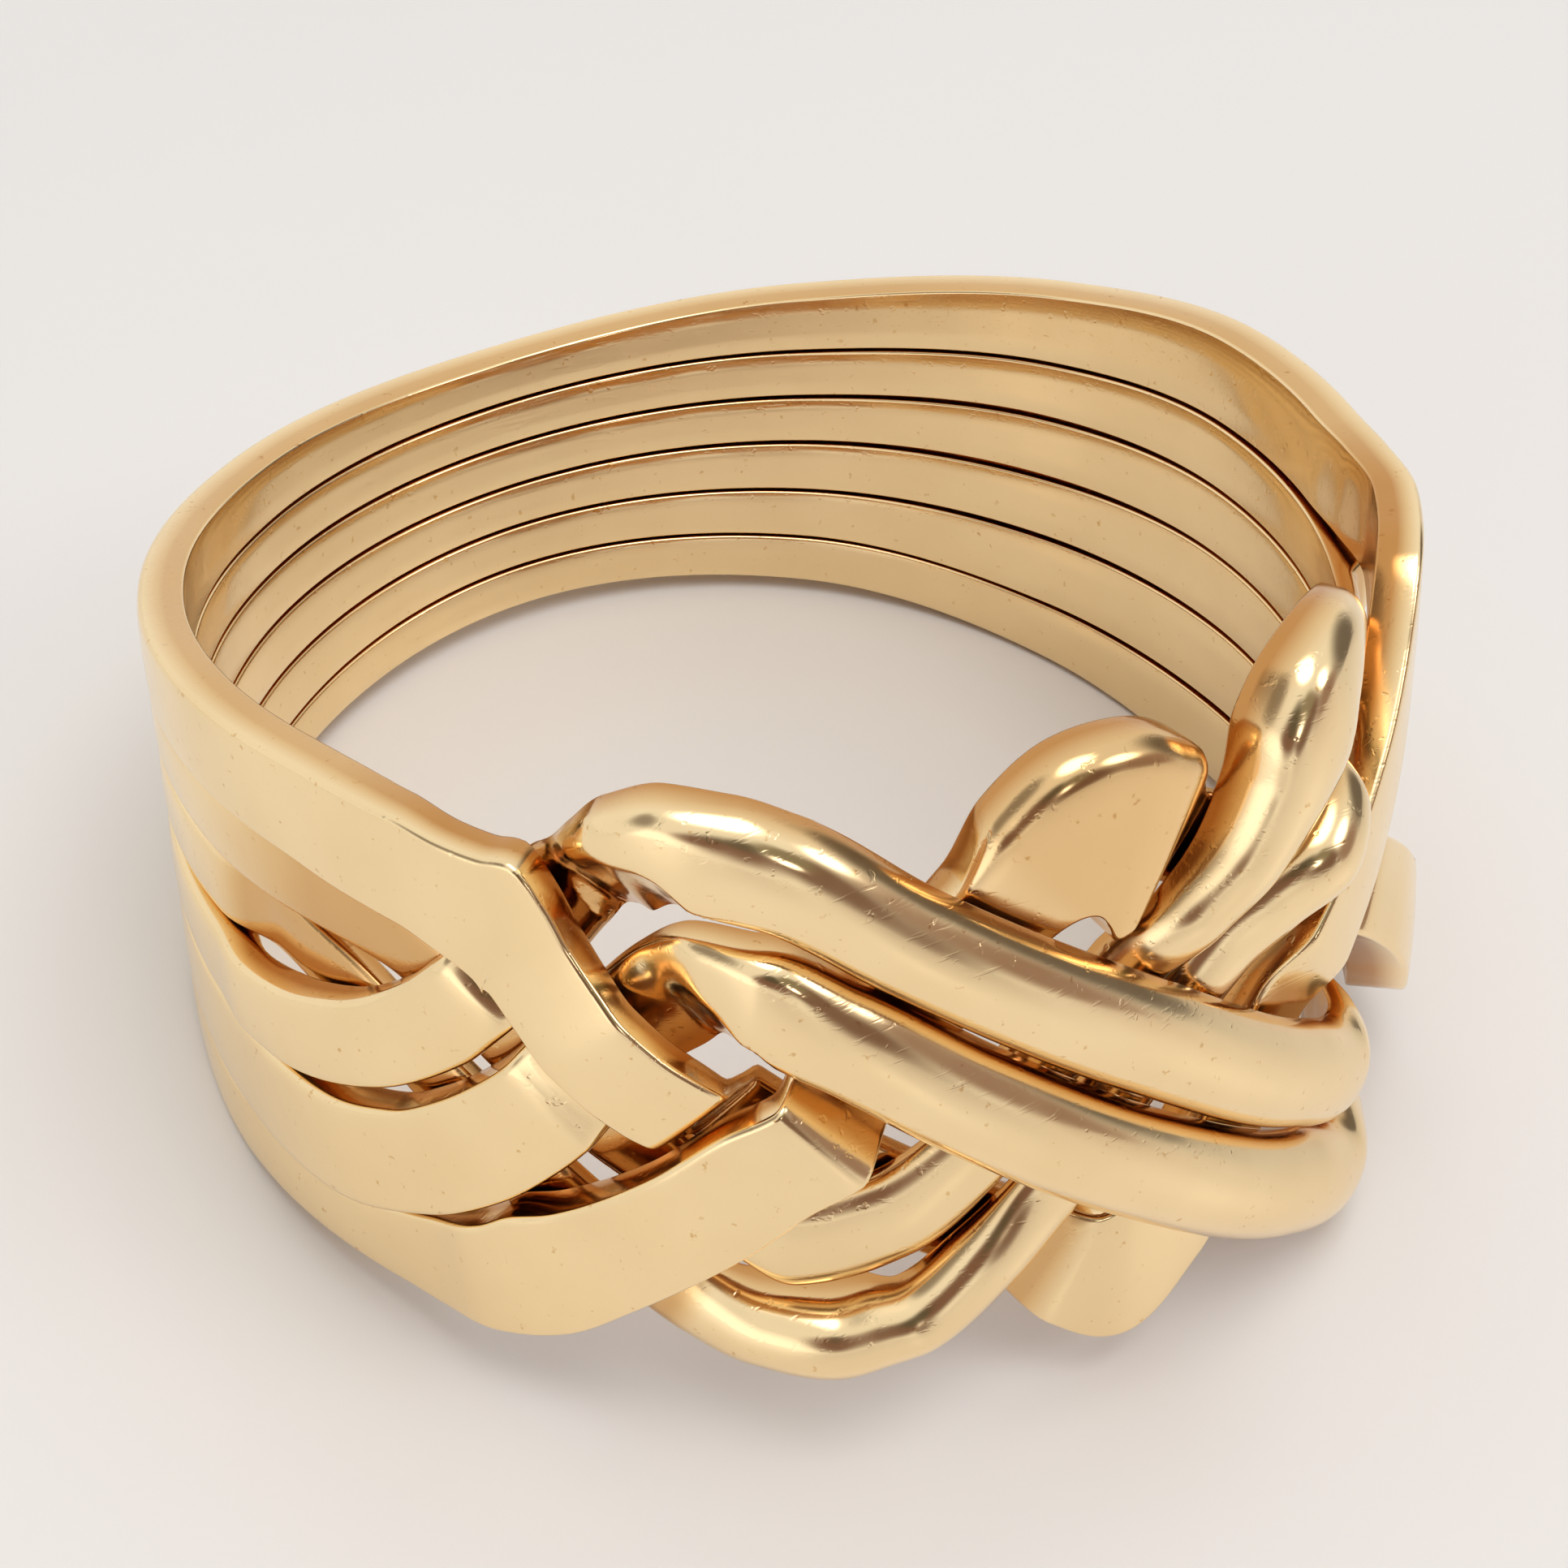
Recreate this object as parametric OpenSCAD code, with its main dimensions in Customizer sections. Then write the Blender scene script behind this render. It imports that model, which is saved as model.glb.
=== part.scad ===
// Puzzle ring: six interlocked bands, plain at the back and woven into a broad head.
// The ring lies on its side as it comes to rest, with the head a little higher than the back.
// Each band is one closed loop, so the bands come apart and go together again.

/* [Ring] */
// Radius of the finger hole, to the inside of the plain shank
bore_r = 9.4; // [8.8:0.1:10.4]
// Height of the ring against the one that the tables describe
height_scale = 1; // [0.95:0.01:1.05]

/* [Section] */
// Height of the side wall that stays straight where a band is flat, against its thickness
flat_wall = 0.86; // [0.8:0.01:0.9]
// Height of the side wall that stays straight where a band is half round
round_wall = 0.2; // [0.15:0.01:0.4]

/* [Hidden] */

// Columns of the band tables. A row is one rib across the band, and the rows go round the ring.
// Angle in degrees from the middle of the head, height of the rib's middle above the mid plane,
// width along the rib, lean of the rib to the right of upright in degrees, base (radial step of the
// inside face out from the finger hole), thick (radial thickness) and round (0 is flat outside,
// 1 is half round). A band is filed thin where two others cross close together.
ANGLE = 0;
HEIGHT = 1;
WIDTH = 2;
LEAN = 3;
BASE = 4;
THICK = 5;
ROUND = 6;

band_1_rows = [
    [-180, 2.25, 0.83, 0, 0.00, 0.78, 0.0],
    [-145, 2.60, 1.08, 0, 0.00, 0.78, 0.0],
    [-115, 3.25, 1.38, 0, 0.00, 0.78, 0.0],
    [-90, 3.77, 1.66, 0, 0.05, 0.78, 0.0],
    [-76, 3.86, 1.80, 0, 0.02, 0.78, 0.0],
    [-69, 3.88, 1.92, 0, 0.10, 0.78, 0.0],
    [-62, 3.89, 1.96, 1, 0.28, 0.75, 0.0],
    [-57, 3.76, 2.06, 3, 0.46, 0.71, 0.0],
    [-54, 3.62, 2.25, 7, 0.51, 0.70, 0.0],
    [-52, 3.52, 2.55, 14, 0.55, 0.69, 0.0],
    [-50.8, 3.28, 2.08, 31, 0.60, 0.68, 0.0],
    [-49.5, 2.96, 1.70, 46, 0.66, 0.67, 0.0],
    [-47, 2.38, 1.62, 50, 0.84, 0.64, 0.0],
    [-44.7, 1.88, 1.60, 50, 1.00, 0.62, 0.0],
    [-42, 1.34, 1.60, 50, 1.01, 0.60, 0.0],
    [-39.5, 0.90, 1.60, 48, 0.96, 0.58, 0.0],
    [-37.6, 0.58, 1.56, 46, 0.92, 0.52, 0.0],
    [-36.2, 0.28, 1.52, 44, 0.46, 0.43, 0.0],
    [-34.8, 0.03, 1.52, 42, 0.02, 0.42, 0.0],
    [-33, -0.25, 1.52, 40, 0.00, 0.42, 0.0],
    [-28, -0.95, 1.50, 38, 0.00, 0.42, 0.0],
    [-20, -2.00, 1.50, 37, 0.00, 0.42, 0.0],
    [-12, -3.00, 1.50, 40, 0.00, 0.43, 0.0],
    [-8, -3.50, 1.60, 38, 0.00, 0.43, 0.0],
    [-3.5, -4.15, 2.10, 25, 0.00, 0.78, 0.0],
    [2, -4.45, 2.90, -2, 0.00, 0.88, 0.0],
    [7, -4.15, 2.20, -28, 0.00, 0.88, 0.0],
    [12, -3.35, 2.00, -44, 0.00, 0.84, 0.0],
    [18, -2.10, 1.95, -44, 0.00, 0.78, 0.0],
    [22, -1.20, 1.88, -43, 0.15, 0.62, 0.0],
    [26, -0.35, 1.88, -42, 0.50, 0.72, 0.0],
    [33, 0.80, 1.90, -43, 0.52, 0.75, 0.0],
    [39, 1.75, 1.92, -45, 0.52, 0.75, 0.0],
    [45, 2.68, 2.05, -42, 0.49, 0.76, 0.0],
    [50, 3.40, 2.45, -20, 0.48, 0.76, 0.0],
    [54, 3.68, 2.06, -8, 0.47, 0.76, 0.0],
    [58, 3.79, 1.84, -4, 0.46, 0.76, 0.0],
    [65, 3.83, 1.78, -1, 0.22, 0.77, 0.0],
    [72, 3.82, 1.72, 0, 0.05, 0.78, 0.0],
    [90, 3.75, 1.66, 0, 0.00, 0.78, 0.0],
    [115, 3.25, 1.38, 0, 0.00, 0.78, 0.0],
    [145, 2.60, 1.08, 0, 0.00, 0.78, 0.0],
];

band_2_rows = [
    [-180, 1.35, 0.83, 0, 0.00, 0.78, 0.0],
    [-145, 1.54, 0.91, 0, 0.00, 0.78, 0.0],
    [-115, 1.95, 1.08, 0, 0.00, 0.78, 0.0],
    [-90, 2.23, 1.25, 0, 0.00, 0.74, 0.1],
    [-75, 2.20, 1.25, 3, 0.00, 0.58, 0.1],
    [-66, 1.95, 1.25, 14, 0.00, 0.45, 0.2],
    [-58, 1.08, 1.24, 32, 0.00, 0.42, 0.3],
    [-50, -0.06, 1.30, 38, 0.00, 0.42, 0.4],
    [-44, -0.85, 1.40, 32, 0.00, 0.42, 0.5],
    [-38.5, -1.55, 1.35, 24, 0.12, 0.42, 0.7],
    [-35, -1.97, 1.22, 14, 0.40, 0.42, 0.9],
    [-29, -2.42, 1.82, 2, 0.48, 0.45, 1.0],
    [-21, -2.08, 1.78, -24, 0.49, 0.48, 1.0],
    [-14, -1.22, 1.56, -38, 0.47, 0.46, 1.0],
    [-8, -0.10, 1.40, -43, 0.20, 0.68, 1.0],
    [2, 1.30, 1.40, -45, 0.15, 0.75, 1.0],
    [7, 2.15, 1.35, -48, 0.48, 0.86, 1.0],
    [11, 2.88, 1.42, -50, 0.54, 1.08, 0.8],
    [14.5, 3.78, 1.72, -52, 0.56, 1.20, 0.7],
    [17, 4.50, 2.25, -48, 0.50, 1.28, 0.7],
    [19.5, 4.95, 2.35, -30, 0.48, 1.22, 0.7],
    [23, 5.10, 2.15, -5, 0.38, 1.10, 0.7],
    [27, 4.95, 1.90, 18, 0.20, 0.95, 0.7],
    [32, 4.40, 1.65, 32, 0.00, 0.82, 0.6],
    [37, 3.80, 1.50, 33, 0.00, 0.60, 0.5],
    [41, 3.28, 1.40, 30, 0.00, 0.42, 0.4],
    [50, 2.42, 1.28, 16, 0.00, 0.42, 0.3],
    [56, 2.22, 1.18, 7, 0.00, 0.42, 0.2],
    [60, 2.17, 1.20, 3, 0.00, 0.42, 0.1],
    [64, 2.18, 1.22, 1, 0.00, 0.80, 0.1],
    [90, 2.20, 1.25, 0, 0.00, 0.78, 0.1],
    [115, 1.95, 1.08, 0, 0.00, 0.78, 0.0],
    [145, 1.54, 0.91, 0, 0.00, 0.78, 0.0],
];

band_3_rows = [
    [-180, 0.45, 0.83, 0, 0.00, 0.78, 0.0],
    [-145, 0.55, 0.92, 0, 0.00, 0.78, 0.0],
    [-115, 0.72, 1.18, 0, 0.00, 0.78, 0.0],
    [-90, 0.90, 1.28, 0, 0.00, 0.72, 0.1],
    [-82, 0.91, 1.22, 2, 0.00, 0.43, 0.1],
    [-76, 0.72, 1.25, 8, 0.00, 0.43, 0.1],
    [-72, 0.48, 1.28, 16, 0.00, 0.43, 0.2],
    [-64, -0.45, 1.30, 33, 0.00, 0.42, 0.3],
    [-55, -1.75, 1.40, 36, 0.00, 0.42, 0.4],
    [-48, -2.85, 1.45, 35, 0.00, 0.42, 0.5],
    [-43, -3.45, 1.42, 30, 0.00, 0.42, 0.7],
    [-38, -3.95, 1.42, 24, 0.00, 0.72, 0.9],
    [-33, -4.22, 1.46, 12, 0.00, 1.10, 0.9],
    [-26, -4.34, 1.50, -4, 0.02, 1.36, 0.8],
    [-22, -4.17, 1.46, -16, 0.25, 1.15, 0.9],
    [-18.6, -4.00, 1.38, -26, 0.53, 0.86, 1.0],
    [-12, -3.15, 1.38, -38, 0.52, 0.66, 1.0],
    [-6.5, -2.35, 1.40, -40, 0.50, 0.44, 1.0],
    [-2.5, -1.68, 1.40, -42, 0.25, 0.62, 1.0],
    [2, -0.93, 1.45, -44, 0.15, 0.74, 1.0],
    [9, 0.20, 1.50, -44, 0.15, 0.74, 1.0],
    [12, 0.75, 1.55, -43, 0.25, 0.75, 1.0],
    [16, 1.40, 1.60, -40, 0.55, 0.82, 1.0],
    [21, 2.05, 1.60, -28, 0.95, 0.88, 1.0],
    [26, 2.42, 1.45, -5, 0.76, 0.80, 1.0],
    [28, 2.43, 1.34, 4, 0.52, 0.60, 1.0],
    [30, 2.37, 1.32, 10, 0.10, 0.45, 1.0],
    [32, 2.22, 1.38, 15, 0.00, 0.42, 1.0],
    [40, 1.62, 1.38, 22, 0.00, 0.42, 0.6],
    [47, 1.15, 1.30, 14, 0.00, 0.42, 0.3],
    [54, 0.92, 1.25, 6, 0.00, 0.70, 0.2],
    [62, 0.85, 1.25, 2, 0.00, 0.80, 0.1],
    [90, 0.86, 1.28, 0, 0.00, 0.78, 0.1],
    [115, 0.72, 1.18, 0, 0.00, 0.78, 0.0],
    [145, 0.55, 0.92, 0, 0.00, 0.78, 0.0],
];

band_4_rows = [
    [-180, -0.45, 0.83, 0, 0.00, 0.78, 0.0],
    [-145, -0.49, 1.00, 0, 0.00, 0.78, 0.0],
    [-115, -0.59, 1.22, 0, 0.00, 0.78, 0.0],
    [-90, -0.53, 1.42, 0, 0.15, 0.78, 0.1],
    [-83, -0.50, 1.40, -2, 0.48, 0.62, 0.1],
    [-77, -0.36, 1.50, -5, 0.48, 0.66, 0.1],
    [-68, 0.15, 1.55, -28, 0.50, 0.62, 0.2],
    [-60, 1.05, 1.55, -40, 0.50, 0.45, 0.3],
    [-57, 1.60, 1.52, -44, 0.48, 0.43, 0.4],
    [-56, 1.78, 1.50, -46, 0.44, 0.42, 0.4],
    [-53.8, 2.24, 1.54, -48, 0.02, 0.42, 0.5],
    [-48, 3.75, 1.60, -52, 0.00, 0.42, 0.8],
    [-46.3, 4.04, 1.46, -47, 0.05, 0.43, 0.7],
    [-44.2, 4.52, 1.60, -36, 0.40, 0.62, 0.5],
    [-41.4, 4.98, 2.00, -19, 0.72, 0.86, 0.5],
    [-38, 5.29, 2.02, -3, 0.86, 0.92, 0.6],
    [-34, 5.26, 1.92, 12, 0.95, 0.89, 0.8],
    [-30, 5.02, 1.82, 25, 0.99, 0.88, 0.9],
    [-20, 3.62, 1.70, 36, 0.99, 0.88, 1.0],
    [0, 0.72, 1.80, 38, 0.99, 0.88, 1.0],
    [20, -2.20, 1.78, 36, 0.99, 0.88, 1.0],
    [27.5, -2.98, 1.76, 20, 0.90, 0.88, 0.9],
    [33.5, -3.10, 1.68, 0, 0.46, 0.78, 0.9],
    [37.8, -2.78, 1.56, -16, 0.02, 0.42, 0.8],
    [42, -2.22, 1.48, -23, 0.00, 0.42, 0.7],
    [50, -1.10, 1.42, -24, 0.00, 0.42, 0.4],
    [56, -0.75, 1.40, -10, 0.00, 0.60, 0.2],
    [62, -0.62, 1.40, -3, 0.00, 0.80, 0.1],
    [90, -0.56, 1.42, 0, 0.00, 0.78, 0.1],
    [115, -0.59, 1.22, 0, 0.00, 0.78, 0.0],
    [145, -0.49, 1.00, 0, 0.00, 0.78, 0.0],
];

band_5_rows = [
    [-180, -1.35, 0.83, 0, 0.00, 0.78, 0.0],
    [-145, -1.60, 1.06, 0, 0.00, 0.78, 0.0],
    [-115, -2.05, 1.48, 0, 0.00, 0.78, 0.0],
    [-90, -2.33, 1.98, 0, 0.10, 0.78, 0.1],
    [-72, -2.20, 2.02, -5, 0.42, 0.74, 0.1],
    [-63, -1.75, 1.95, -20, 0.49, 0.66, 0.1],
    [-57, -1.10, 1.92, -36, 0.50, 0.66, 0.1],
    [-52, -0.32, 1.84, -42, 0.50, 0.65, 0.1],
    [-49.4, 0.17, 1.80, -44, 0.50, 0.63, 0.1],
    [-47.6, 0.57, 1.79, -44, 0.51, 0.44, 0.3],
    [-43, 1.60, 1.75, -46, 0.50, 0.42, 0.7],
    [-38.6, 2.36, 1.98, -29, 0.50, 0.43, 0.6],
    [-35.4, 2.78, 2.04, -11, 0.66, 0.74, 0.5],
    [-32, 2.80, 1.92, 8, 0.88, 0.88, 0.6],
    [-26, 2.15, 1.80, 32, 0.99, 0.88, 0.9],
    [-16, 0.62, 1.80, 37, 0.99, 0.88, 1.0],
    [0, -1.80, 1.80, 38, 0.99, 0.88, 1.0],
    [20, -4.50, 1.85, 33, 0.99, 0.88, 1.0],
    [30, -5.38, 1.80, 10, 0.85, 0.88, 1.0],
    [37, -5.35, 1.80, -12, 0.40, 0.88, 1.0],
    [44, -4.35, 1.72, -42, 0.00, 0.42, 0.7],
    [54, -2.65, 1.44, -24, 0.00, 0.40, 0.3],
    [58, -2.28, 1.34, -10, 0.00, 0.42, 0.2],
    [61, -2.17, 1.40, -4, 0.00, 0.60, 0.2],
    [66, -2.12, 1.45, -2, 0.00, 0.80, 0.1],
    [90, -2.16, 1.60, 0, 0.00, 0.78, 0.1],
    [115, -2.00, 1.40, 0, 0.00, 0.78, 0.0],
    [145, -1.56, 1.00, 0, 0.00, 0.78, 0.0],
];

band_6_rows = [
    [-180, -2.25, 0.83, 0, 0.00, 0.78, 0.0],
    [-145, -2.62, 0.84, 0, 0.00, 0.78, 0.0],
    [-115, -3.41, 1.04, 0, 0.00, 0.78, 0.0],
    [-90, -4.08, 1.30, 0, 0.00, 0.78, 0.0],
    [-70, -4.08, 1.42, 0, 0.00, 0.78, 0.0],
    [-66, -3.99, 1.56, -1, 0.04, 0.78, 0.0],
    [-62, -3.86, 1.80, -3, 0.14, 0.78, 0.0],
    [-56, -3.55, 2.10, -9, 0.44, 0.76, 0.0],
    [-51, -3.15, 2.32, -22, 0.50, 0.75, 0.0],
    [-46, -2.62, 2.10, -33, 0.56, 0.72, 0.0],
    [-40, -1.73, 2.00, -37, 0.84, 0.64, 0.0],
    [-36, -1.10, 1.98, -39, 0.97, 0.60, 0.0],
    [-31, -0.30, 1.98, -41, 0.98, 0.60, 0.0],
    [-27.2, 0.10, 1.96, -40, 0.95, 0.60, 0.0],
    [-24.5, 0.62, 1.90, -42, 0.15, 0.55, 0.0],
    [-20, 1.60, 1.85, -43, 0.00, 0.62, 0.0],
    [-12, 3.25, 1.85, -42, 0.00, 0.86, 0.0],
    [-8, 3.98, 2.45, -34, 0.00, 0.92, 0.0],
    [-4, 4.20, 3.10, -12, 0.00, 0.93, 0.0],
    [0, 4.02, 3.36, 8, 0.00, 0.93, 0.0],
    [4, 3.72, 2.96, 25, 0.00, 0.90, 0.0],
    [6.2, 3.44, 1.90, 37, 0.00, 0.58, 0.0],
    [8, 3.22, 1.52, 43, 0.00, 0.43, 0.0],
    [19, 1.95, 1.50, 37, 0.00, 0.43, 0.0],
    [28, 0.78, 1.34, 38, 0.00, 0.43, 0.0],
    [33, 0.08, 1.52, 40, 0.00, 0.43, 0.0],
    [36, -0.38, 1.62, 43, 0.02, 0.43, 0.0],
    [39, -0.86, 1.70, 46, 0.46, 0.66, 0.0],
    [42, -1.36, 1.74, 48, 0.50, 0.82, 0.0],
    [45, -1.96, 1.78, 48, 0.54, 0.98, 0.0],
    [48, -2.62, 1.84, 45, 0.58, 1.06, 0.0],
    [50.5, -3.18, 2.10, 32, 0.60, 1.08, 0.0],
    [52, -3.44, 2.45, 17, 0.60, 1.08, 0.0],
    [54.5, -3.62, 2.25, 8, 0.56, 1.04, 0.0],
    [57, -3.76, 1.98, 4, 0.50, 0.88, 0.0],
    [60, -3.88, 1.72, 1, 0.44, 0.76, 0.0],
    [61.5, -3.91, 1.64, 1, 0.38, 0.76, 0.0],
    [66, -3.92, 1.58, 1, 0.12, 0.78, 0.0],
    [72, -3.90, 1.58, 0, 0.02, 0.78, 0.0],
    [90, -3.84, 1.52, 0, 0.00, 0.78, 0.0],
    [115, -3.36, 1.18, 0, 0.00, 0.78, 0.0],
    [145, -2.60, 0.96, 0, 0.00, 0.78, 0.0],
];

// Turn that brings the ring from its own mid plane to the way it lies: tilt about X, roll about Y.
REST_TILT = -10.7;
REST_ROLL = 0.2;

// The head is cut in fine steps, and the plain back in coarse ones.
HEAD_HALF = 66;
HEAD_STEPS = 88;
BACK_STEPS = 38;
head_step = 2 * HEAD_HALF / HEAD_STEPS;
back_step = (360 - 2 * HEAD_HALF) / BACK_STEPS;
stations = concat(
    [for (i = [0 : HEAD_STEPS - 1]) i * head_step - HEAD_HALF],
    [for (i = [0 : BACK_STEPS - 1]) turn(HEAD_HALF + i * back_step)]
);

// The outline of a section goes over the outside in this many points, after two points inside.
OUTER_POINTS = 8;
section_points = OUTER_POINTS + 2;
// Power of the outline's curve where a band is flat, and how far it falls where it is half round
FLAT_POWER = 4;
POWER_FALL = 1.9;

function turn(a) = a >= 180 ? a - 360 : a;

// Row number k of a table that closes on itself, with the angle carried round.
function row(rows, k) =
    let(n = len(rows), j = (k + n) % n, shift = k < 0 ? -360 : k >= n ? 360 : 0)
    [for (c = [0 : len(rows[j]) - 1]) c == ANGLE ? rows[j][c] + shift : rows[j][c]];

// Last row at or before an angle.
function row_before(rows, a) =
    max([for (k = [0 : len(rows) - 1]) if (rows[k][ANGLE] <= a) k]);

// Slope at the middle row of three, for a curve that doesn't pass beyond its rows.
function slope(a, b, c, col) =
    let(
        h1 = b[ANGLE] - a[ANGLE],
        h2 = c[ANGLE] - b[ANGLE],
        d1 = (b[col] - a[col]) / h1,
        d2 = (c[col] - b[col]) / h2,
        w1 = 2 * h2 + h1,
        w2 = h2 + 2 * h1
    )
    d1 * d2 <= 0 ? 0 : (w1 + w2) / (w1 / d1 + w2 / d2);

// Value of one column at an angle, on a smooth curve through the rows.
function value(p, q, r, s, a, col) =
    let(
        h = r[ANGLE] - q[ANGLE],
        t = (a - q[ANGLE]) / h,
        m1 = slope(p, q, r, col),
        m2 = slope(q, r, s, col)
    )
    (2 * pow(t, 3) - 3 * pow(t, 2) + 1) * q[col]
    + (pow(t, 3) - 2 * pow(t, 2) + t) * h * m1
    + (3 * pow(t, 2) - 2 * pow(t, 3)) * r[col]
    + (pow(t, 3) - pow(t, 2)) * h * m2;

// The rib at an angle, with the same columns as a row.
function rib(rows, a) =
    let(
        k = row_before(rows, a),
        p = row(rows, k - 1),
        q = row(rows, k),
        r = row(rows, k + 1),
        s = row(rows, k + 2)
    )
    [for (col = [0 : len(q) - 1]) col == ANGLE ? a : value(p, q, r, s, a, col)];

// Section of a rib as [along the rib, out from the inside face].
function outline(rib) =
    let(
        half = rib[WIDTH] / 2,
        wall = rib[THICK] * (flat_wall + (round_wall - flat_wall) * rib[ROUND]),
        power = 2 / (FLAT_POWER - POWER_FALL * rib[ROUND])
    )
    concat(
        [[-half, 0], [half, 0]],
        [for (i = [0 : OUTER_POINTS - 1])
            let(
                sweep = 180 * i / (OUTER_POINTS - 1),
                along = half * sign(cos(sweep)) * pow(abs(cos(sweep)), power),
                out = wall + (rib[THICK] - wall) * pow(abs(sin(sweep)), power)
            )
            [along, out]]
    );

// A section point placed on the ring, before the ring is laid down.
function on_ring(rib, point) =
    let(
        middle_r = bore_r + rib[BASE] + rib[THICK] / 2,
        angle = rib[ANGLE] + point[0] * sin(rib[LEAN]) / middle_r * 180 / PI,
        r = bore_r + rib[BASE] + point[1],
        z = (rib[HEIGHT] + point[0] * cos(rib[LEAN])) * height_scale
    )
    [r * sin(angle), -r * cos(angle), z];

// Tilt about X, then roll about Y.
function laid(p) =
    let(
        y = p[1] * cos(REST_TILT) - p[2] * sin(REST_TILT),
        z = p[1] * sin(REST_TILT) + p[2] * cos(REST_TILT)
    )
    [p[0] * cos(REST_ROLL) + z * sin(REST_ROLL), y, z * cos(REST_ROLL) - p[0] * sin(REST_ROLL)];

function band_points(rows) =
    [for (a = stations) let(here = rib(rows, a)) for (point = outline(here)) laid(on_ring(here, point))];

bands = [for (rows = [
    band_1_rows, band_2_rows, band_3_rows, band_4_rows, band_5_rows, band_6_rows
]) band_points(rows)];

// The ring's box, so that it stands on the floor over the origin.
function low(col) = min([for (band = bands) for (p = band) p[col]]);
function high(col) = max([for (band = bands) for (p = band) p[col]]);
centre = [(low(0) + high(0)) / 2, (low(1) + high(1)) / 2, low(2)];

band_faces = [
    for (i = [0 : len(stations) - 1], j = [0 : section_points - 1], upper = [0, 1])
        let(
            i2 = (i + 1) % len(stations),
            j2 = (j + 1) % section_points,
            a = i * section_points + j,
            b = i2 * section_points + j,
            c = i2 * section_points + j2,
            d = i * section_points + j2
        )
        upper == 0 ? [a, c, b] : [a, d, c]
];

module band(number) {
    polyhedron(points = [for (p = bands[number - 1]) p - centre], faces = band_faces);
}

module band_1() {
    color("gold")
        band(1);
}

module band_2() {
    color("goldenrod")
        band(2);
}

module band_3() {
    color("gold")
        band(3);
}

module band_4() {
    color("goldenrod")
        band(4);
}

module band_5() {
    color("gold")
        band(5);
}

module band_6() {
    color("goldenrod")
        band(6);
}

band_1();
band_2();
band_3();
band_4();
band_5();
band_6();
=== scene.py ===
import math

import bpy
import numpy as np
from mathutils import Matrix, Vector


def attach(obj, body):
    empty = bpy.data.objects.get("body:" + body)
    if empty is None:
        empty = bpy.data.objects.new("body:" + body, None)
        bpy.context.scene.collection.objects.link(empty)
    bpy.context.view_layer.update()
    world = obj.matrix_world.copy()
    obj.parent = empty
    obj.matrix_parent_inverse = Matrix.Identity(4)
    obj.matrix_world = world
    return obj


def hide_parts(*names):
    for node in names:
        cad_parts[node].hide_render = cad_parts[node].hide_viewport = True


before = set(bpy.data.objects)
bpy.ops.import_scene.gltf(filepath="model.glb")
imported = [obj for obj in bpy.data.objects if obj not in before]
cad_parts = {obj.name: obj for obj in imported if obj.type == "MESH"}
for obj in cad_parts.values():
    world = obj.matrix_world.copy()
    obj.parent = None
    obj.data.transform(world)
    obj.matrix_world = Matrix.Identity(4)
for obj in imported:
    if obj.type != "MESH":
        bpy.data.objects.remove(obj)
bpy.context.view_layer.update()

MM = 0.001

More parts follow.
